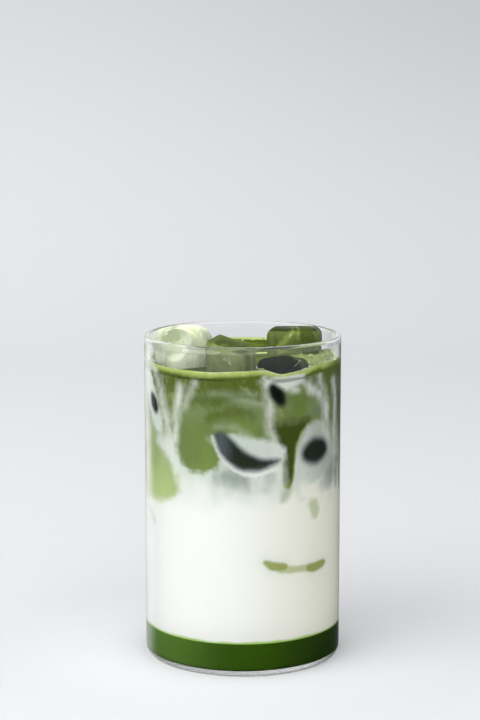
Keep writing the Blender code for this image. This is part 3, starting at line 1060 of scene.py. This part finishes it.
# %% Where bubbles gather
def bubble_bed(source, wanted):
    """The faces of the froth's upper side whose middle passes a test, sorted by place.

    The Boolean numbers its faces differently on each run, and points are drawn face by face. Sorting gives
    the same bubbles every time.
    """
    loops = []
    for face in source.polygons:
        if face.normal.z > 0.5 and wanted(face.center / MM):
            corners = [tuple(round(part, 7) for part in source.vertices[i].co) for i in face.vertices]
            first = corners.index(min(corners))
            loops.append(corners[first:] + corners[:first])
    loops.sort()
    spots = sorted({corner for loop in loops for corner in loop})
    number = {spot: i for i, spot in enumerate(spots)}
    mesh = bpy.data.meshes.new("bubble_bed")
    mesh.from_pydata(spots, [], [[number[corner] for corner in loop] for loop in loops])
    return mesh


def from_wall(point):
    return INNER_RADIUS / MM - hypot(point.x, point.y)


def by_the_wall(point):
    return 0.5 < from_wall(point) < 2.4


def in_the_lee(point):
    """The froth drifts together on the right, beside the ice, and in front between two cubes."""
    right = hypot(point.x - 28.0, (point.y + 5.0) * 0.6) < 9.0
    front = hypot(point.x - 4.0, point.y + 27.0) < 7.0
    return (right or front) and from_wall(point) > 0.8


# %% Scatter the bubbles
bubble = Finish("bubble", Roughness=0.2, Specular_IOR_Level=0.3)
uneven = bubble.noise(bubble.place(), 2.5, 3.0)
bubble.set(Base_Color=bubble.mix(uneven.step(0.36, 0.62), (0.120, 0.160, 0.040), (0.280, 0.345, 0.120)))
tree = bubble_tree(bubble.material)
for name, test, spacing, largest, seed in (
        ("rim_bubbles", by_the_wall, 0.62, 0.55, 3), ("drift_bubbles", in_the_lee, 0.8, 0.8, 8)):
    piece = scattered(name, bubble_bed(froth.data, test), tree, Spacing=spacing * MM, Largest=largest * MM,
                      Seed=seed)
    keep(piece, "froth")

# %% [markdown]
# ## The ice
#
# Thawing ice is never flat. A slow noise swells and sinks the faces by a tenth of a millimetre or two, and
# the left cube keeps the round hollow that freezing leaves. Sculpting could do the same, but noise can be
# changed by one number.

# %% Melting
ICE_MELT = 0.10                 # mm that melting swells and sinks the faces by
MELT_GRAIN = 6.0                # mm across one swell
DIMPLE_RADIUS = 7.0             # the hollow, in mm
DIMPLE_DEPTH = 1.6
DIMPLE_TURN = -34               # degrees: where on the cube it is pressed in
DIMPLE_RISE = 22


def dimple(mesh):
    """Press the round hollow into the left cube: points inside a sphere move out to its surface."""
    size, _, centre, lean, _ = ICE["ice_left"]
    turn = Euler([radians(angle) for angle in lean]).to_matrix()
    sphere_radius = (DIMPLE_RADIUS ** 2 + DIMPLE_DEPTH ** 2) / (2 * DIMPLE_DEPTH)
    distance = size[1] / 2 + sphere_radius - DIMPLE_DEPTH
    turn_round = Matrix.Rotation(radians(DIMPLE_TURN), 3, "Z")
    tip_up = Matrix.Rotation(radians(-DIMPLE_RISE), 3, "X")
    middle = (Vector(centre) + (turn @ turn_round @ tip_up).col[1] * -distance) * MM
    for vert in mesh.vertices:
        offset = vert.co - middle
        if offset.length < sphere_radius * MM:
            vert.co = middle + offset.normalized() * sphere_radius * MM


def melt(mesh, seed):
    """Swell and sink the faces a little, as thawing ice does."""
    mesh.update()
    moves = [vert.normal * noise.noise(vert.co / (MELT_GRAIN * MM) + Vector((seed, 0, 0))) * ICE_MELT * MM * 2
             for vert in mesh.vertices]
    for vert, move in zip(mesh.vertices, moves):
        vert.co += move


print("hollow in the left cube:", DIMPLE_RADIUS * 2, "mm across")

# %% [markdown]
# ## What shows inside the ice
#
# Ice bends light less than glass does, and it is clear only where it froze slowly. Each cube is clear ice
# blended with an opaque, milky kind, which takes its tint from the drink round it. Veils come from noise.
# The dark and pale marks are strokes again, on a flat sheet seen from the front, so that they run on from
# one face of a cube to the next.

# %% Marks in the ice
# (x, height, radius) in mm, seen from the front
ICE_MARKS = {
    "ice_left": {
        "shade": (((-28.4, 126.4, 2.4), (-26.2, 127.0, 2.8)),),
        "streak": (((-19.9, 129.6, 0.5), (-17.6, 126.6, 0.8)), ((-16.2, 128.4, 0.5), (-14.3, 123.6, 0.9)),
                   ((-15.4, 126.6, 0.6), (-13.4, 123.6, 0.9), (-13.0, 119.6, 0.9))),
        "glint": (((-28.8, 128.2, 0.34), (-28.4, 127.8, 0.30)), ((-27.4, 129.0, 0.26), (-27.2, 128.9, 0.26)),
                  ((-29.8, 126.4, 0.24), (-29.7, 126.0, 0.24)), ((-14.0, 127.8, 0.16), (-12.9, 123.4, 0.30))),
    },
    "ice_middle": {
        "shade": (((-12.4, 125.6, 0.35), (-8.4, 127.3, 0.35), (-4.0, 126.3, 0.35), (0.5, 125.1, 0.35),
                   (5.6, 123.8, 0.3)), ((1.6, 122, 0.9), (1.8, 112, 0.9))),
        "streak": (((-11.0, 125.2, 0.15), (-9.0, 124.0, 0.3), (-6.6, 123.4, 0.15)),),
        "glint": (((-6.2, 121.2, 0.02), (-7.2, 119.4, 0.04)), ((-5.4, 120.8, 0.02), (-4.4, 117.9, 0.04)),
                  ((-6.6, 120.1, 0.02), (-5.1, 118.6, 0.04))),
    },
    "ice_right": {
        "shade": (((25.4, 127, 1.6), (27.4, 116, 2.6)), ((23.2, 126.6, 0.7), (23.6, 118, 0.8))),
        "streak": (((19.2, 125.4, 0.5), (16.8, 122.6, 0.9)), ((16.8, 122.6, 0.9), (13.6, 119.2, 0.8)),
                   ((21.5, 126.4, 0.2), (21.3, 123.2, 0.3))),
        "glint": (((18.9, 124.8, 0.02), (17.8, 123.4, 0.05)), ((16.4, 121.8, 0.02), (15.2, 120.8, 0.04))),
    },
    "ice_front": {
        "shade": (((9.0, 118, 3.0), (16.0, 116, 3.4)),),
        "streak": (((19.4, 119.6, 0.5), (22.8, 117.2, 1.3)),),
        "glint": (((21.2, 118.8, 0.02), (18.6, 116.4, 0.04)),),
    },
}
print("marks in the ice:", sum(len(strokes) for marks in ICE_MARKS.values() for strokes in marks.values()))

# %% Tints of the ice
# clear tint; veils pale and dark; the top, painted paler as light on the left cube and darker as shade on the
# others; streaks; the share that is milky, from and to
ICE_TINTS = {
    "ice_left": ((0.93, 0.95, 0.90), (0.57, 0.61, 0.46), (0.27, 0.32, 0.19), (0.68, 0.73, 0.49),
                 (0.62, 0.67, 0.40), 0.45, 0.88),
    "ice_middle": ((0.62, 0.70, 0.46), (0.165, 0.200, 0.080), (0.085, 0.110, 0.032), (0.040, 0.062, 0.010),
                   (0.240, 0.310, 0.070), 0.86, 0.98),
    "ice_right": ((0.60, 0.68, 0.42), (0.095, 0.125, 0.032), (0.042, 0.060, 0.012), (0.022, 0.032, 0.008),
                  (0.210, 0.270, 0.065), 0.80, 0.98),
    "ice_front": ((0.30, 0.36, 0.26), (0.009, 0.013, 0.006), (0.006, 0.009, 0.004), (0.007, 0.010, 0.004),
                  (0.060, 0.078, 0.032), 1.0, 1.0),
}
# painted highlights
ICE_GLINT = (0.80, 0.84, 0.70)
print("tinted cubes:", ", ".join(ICE_TINTS))


# %% The ice's finish
def ice_finish(name):
    """Clear ice with milky veils in it, darker and paler marks, a top painted paler as light on the left cube
    and darker as shade on the others, and a few white glints painted as highlights.
    """
    tint, pale, dark, top, streak_colour, least, most = ICE_TINTS[name]
    f = Finish(name, Base_Color=tint, Roughness=0.03, IOR=1.31, Transmission_Weight=1.0)
    point = f.place()
    veil = f.noise(f.vector("MULTIPLY", point, (1.0, 1.0, 0.5)), 5.0, 4.0, Distortion=0.6)
    ragged = f.noise(point, 1.8, 3.0) - 0.5
    shade = (f.attribute("shade") + ragged * 1.0).step(-0.7, 0.8, 0.9, 0.0)
    streak = (f.attribute("streak") + ragged * 1.6).step(-0.7, 0.9, 0.7, 0.0)
    glint = (f.attribute("glint") + ragged * 0.2).step(-0.05, 0.25, 0.5, 0.0)
    colour = f.mix(veil.step(0.40, 0.70) * 0.8, pale, dark)
    # painted light and shade on the top: paler on the left cube, darker on the others
    top_light_and_shade = f.mix(veil.step(0.45, 0.8) * 0.4, top, pale)
    colour = f.mix(f.attribute("skyward").step(0.55, 0.85), colour, top_light_and_shade)
    colour = f.mix(shade, colour, dark)
    colour = f.mix(streak, colour, streak_colour)
    colour = f.mix(glint, colour, ICE_GLINT)
    share = veil.step(0.34, 0.66, least, most).most(shade * most).most(streak).most(glint)
    share = share.most(f.split(point)[2].step(119.5, 123.5, 0.93, 0.0))
    f.milky(share, colour)
    return f


# %% Set the cubes in the glass
for number, name in enumerate(ICE):
    mesh = ice_mesh(name, cuts=ICE_CUTS)
    furthest = max(hypot(vert.co.x, vert.co.y) for vert in mesh.vertices) / MM
    print(f"{name} reaches {furthest:.2f} mm from the axis")
    if name == "ice_left":
        dimple(mesh)
    melt(mesh, number * 7.0)
    mesh.update()
    skyward = [vert.normal.z for vert in mesh.vertices]
    mesh.attributes.new("skyward", "FLOAT", "POINT").data.foreach_set("value", skyward)
    front = Sheet(mesh, 6.0, 0.5, flat=True)
    for mark, strokes in ICE_MARKS[name].items():
        front.store(mark, strokes, 0.4)
    block = add_piece(name + "_melted", mesh, ice_finish(name))
    keep(block, "ice", name)

# %% [markdown]
# ## Floor and backdrop
#
# One pale sheet runs from the table up into the wall behind in a wide curve, so no horizon shows. Its far
# edges turn up a little, so that a low view from the side or from behind also ends on paper. The glass
# throws some light on the paper close by, which a renderer would need far more time to find, so the
# paper is simply a little paler there.

# %% The sweep
SWEEP_WIDTH = 12.0
SWEEP_FRONT = -6.0
SWEEP_BACK = 1.6
SWEEP_ROUND = 0.9
SWEEP_HEIGHT = 3.0
SWEEP_LIP = 0.3
FLOOR_DROP = 0.05 * MM          # a hair under the foot, so that the two faces don't share one plane


def sweep_mesh():
    turn = arc((SWEEP_BACK - SWEEP_ROUND, SWEEP_ROUND), SWEEP_ROUND, -90, 0, 24)
    turn = [(y, z - FLOOR_DROP) for y, z in turn]
    line = [(SWEEP_FRONT, -FLOOR_DROP)] + turn + [(SWEEP_BACK, SWEEP_HEIGHT)]
    bm = bmesh.new()
    rows = [[bm.verts.new((side * SWEEP_WIDTH / 2, y, z)) for side in (-1, 1)] for y, z in line]
    for low, high in zip(rows, rows[1:]):
        bm.faces.new((low[0], low[1], high[1], high[0]))
    half = SWEEP_WIDTH / 2
    corners = ((-half, SWEEP_BACK), (-half, SWEEP_FRONT), (half, SWEEP_FRONT), (half, SWEEP_BACK))
    for (x, y), (next_x, next_y) in zip(corners, corners[1:]):
        foot = [(x, y, -FLOOR_DROP), (next_x, next_y, -FLOOR_DROP)]
        bm.faces.new([bm.verts.new(c) for c in foot + [(next_x, next_y, SWEEP_LIP), (x, y, SWEEP_LIP)]])
    mesh = bpy.data.meshes.new("sweep")
    bm.to_mesh(mesh)
    bm.free()
    return mesh


def paper_finish():
    """Pale paper with painted shade that darkens it upwards and towards the far right, and painted light that
    makes it paler near the glass, under it, and on the far lip.
    """
    f = Finish("pale_paper", Roughness=0.8)
    x, y, z = f.split(f.place())
    # painted shade: darker upwards and towards the far right
    far = z.step(0.0, 420.0) * 0.55 + x.step(-350.0, 450.0) * z.step(-300.0, 260.0) * 0.45
    colour = f.mix(far, (0.488, 0.490, 0.500), (0.320, 0.320, 0.328))
    from_axis = f.vector("LENGTH", f.join(x, y, z), output=1)
    # painted light that the glass throws, weaker to the right and in front
    sides = x.step(-10.0, 60.0, 1.0, 0.55) * y.step(-80.0, -20.0, 0.2, 1.0)
    colour = f.mix(from_axis.step(36.0, 105.0, 0.8, 0.0) * sides, colour, (0.560, 0.566, 0.575))
    # painted light on the far lip
    lip = from_axis.step(4000.0, 4500.0) * z.step(2.0, 10.0)
    colour = f.mix(lip, colour, (0.600, 0.604, 0.615))
    # painted light under the glass
    under_glass = from_axis.step(36.0, 38.5, 1.0, 0.0)
    f.set(Base_Color=f.mix(under_glass, colour, (0.840, 0.870, 0.830)))
    return f


sweep = add_piece("sweep", sweep_mesh(), paper_finish())
sweep.visible_glossy = False

# %% [markdown]
# ## Light
#
# The room is bright and even, and one wide window stands on the left. It whitens the left side of the
# drink and lays a soft shadow to the right.

# %% World and window
class Sky(Finish):
    """The room's own light: a Background shader, fed in the same way as a finish."""

    def __init__(self, name):
        self.world = bpy.data.worlds.new(name)
        self.world.use_nodes = True
        self.tree = self.world.node_tree
        self.shader = self.tree.nodes["Background"]
        bpy.context.scene.world = self.world


def room():
    """Bright above and on the left; below the level only mirrors see it, and there the front is dark."""
    f = Sky("room")
    direction = f.node("ShaderNodeTexCoord", output="Generated")
    x, y, z = f.split(direction)
    above = z.step(-0.03, 0.03)
    leftness = x.step(-0.9, 0.9, 1.0, 0.0)
    backness = y.step(0.45, 0.85)
    high = 1.50 + leftness * 0.1
    low = (leftness * leftness * 1.2 + 0.04) * (backness * 0.9 + 0.1)
    f.set(Color=(0.97, 0.98, 1.0), Strength=low + above * (high - low))


room()


def window(name, place, size, power, towards=(0.0, 0.0, 0.06)):
    lamp = bpy.data.lights.new(name, "AREA")
    lamp.shape = "RECTANGLE"
    lamp.size, lamp.size_y = size
    lamp.energy = power
    obj = bpy.data.objects.new(name, lamp)
    obj.location = place
    obj.rotation_euler = (Vector(towards) - Vector(place)).to_track_quat("-Z", "Y").to_euler()
    obj.visible_glossy = False
    bpy.context.scene.collection.objects.link(obj)
    return obj


window("window_left", (-1.05, -0.75, 0.85), (1.3, 1.3), 14.0)
window("softbox", (-0.2, -1.3, 1.7), (3.0, 2.0), 24.0)
bpy.context.scene.view_settings.view_transform = "Standard"

cycles = bpy.context.scene.cycles
cycles.max_bounces = 24         # light runs along inside the base of the glass before it leaves
cycles.glossy_bounces = 16
cycles.transmission_bounces = 16
